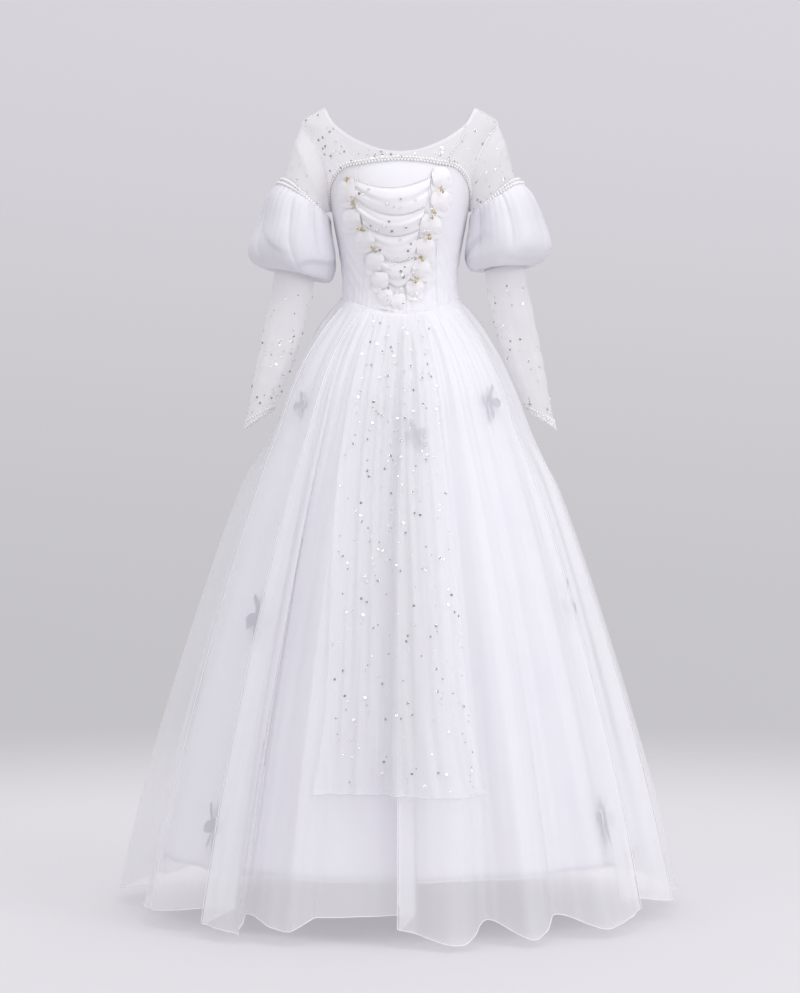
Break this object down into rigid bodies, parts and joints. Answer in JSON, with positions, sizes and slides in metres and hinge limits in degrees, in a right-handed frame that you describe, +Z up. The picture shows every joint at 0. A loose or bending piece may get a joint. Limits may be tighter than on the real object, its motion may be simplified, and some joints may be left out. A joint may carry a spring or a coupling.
{
  "type": "ball gown",
  "caption": "floor-length white ball gown in its worn form, with a fitted satin bodice, sheer yoke, puffed sleeves, and a full satin skirt under folded organza",
  "frame": {"origin": "the middle of the waist on the gown's upright axis, level with the waist seam at the sides, where the wearer carries the gown", "axes": "+Z is up, the gown's front faces -Y, and the wearer's left is +X"},
  "size_m": [1.0372, 1.0672, 1.4717],
  "materials": {
    "bodice_satin": "soft satin with a faint weave and a broad sheen",
    "puff_satin": "soft satin with a broad sheen",
    "skirt_satin": "heavier satin with a broad sheen",
    "skirt_organza": "crisp see-through organza",
    "sequinned_panel": "fine see-through mesh with sewn sequins",
    "sheer_mesh": "fine see-through mesh with sewn sequins",
    "chiffon": "soft matte chiffon",
    "beaded_cuff": "small pearls and sequins sewn on a narrow lace band"
  },
  "bodies": {
    "root": {"bodice_front": "bodice_satin", "bodice_side_front_left": "bodice_satin", "bodice_side_front_right": "bodice_satin", "bodice_back_left": "bodice_satin", "bodice_back_right": "bodice_satin", "puff_left": "puff_satin", "puff_right": "puff_satin", "satin_skirt_front": "skirt_satin", "satin_skirt_side_left": "skirt_satin", "satin_skirt_side_right": "skirt_satin", "satin_skirt_back_left": "skirt_satin", "satin_skirt_back_right": "skirt_satin", "organza_skirt_front": "skirt_organza", "organza_skirt_left": "skirt_organza", "organza_skirt_right": "skirt_organza", "organza_skirt_back_left": "skirt_organza", "organza_skirt_back_right": "skirt_organza", "blossom_1": "skirt_organza", "blossom_2": "skirt_organza", "blossom_3": "skirt_organza", "blossom_4": "skirt_organza", "blossom_5": "skirt_organza", "blossom_6": "skirt_organza", "blossom_7": "skirt_organza", "blossom_8": "skirt_organza", "blossom_9": "skirt_organza", "blossom_10": "skirt_organza", "blossom_11": "skirt_organza", "blossom_12": "skirt_organza", "front_panel": "sequinned_panel", "yoke_front": "sheer_mesh", "yoke_back_left": "sheer_mesh", "yoke_back_right": "sheer_mesh", "sleeve_left": "sheer_mesh", "sleeve_right": "sheer_mesh", "neck_binding_front": "sheer_mesh", "neck_binding_back_left": "sheer_mesh", "neck_binding_back_right": "sheer_mesh", "swag_1": "chiffon", "swag_2": "chiffon", "swag_3": "chiffon", "swag_4": "chiffon", "petal_left_1": "chiffon", "petal_left_2": "chiffon", "petal_left_3": "chiffon", "petal_left_4": "chiffon", "petal_left_5": "chiffon", "petal_left_6": "chiffon", "petal_left_7": "chiffon", "petal_right_1": "chiffon", "petal_right_2": "chiffon", "petal_right_3": "chiffon", "petal_right_4": "chiffon", "petal_right_5": "chiffon", "petal_right_6": "chiffon", "cuff_left": "beaded_cuff", "cuff_right": "beaded_cuff"}
  },
  "joints": []
}
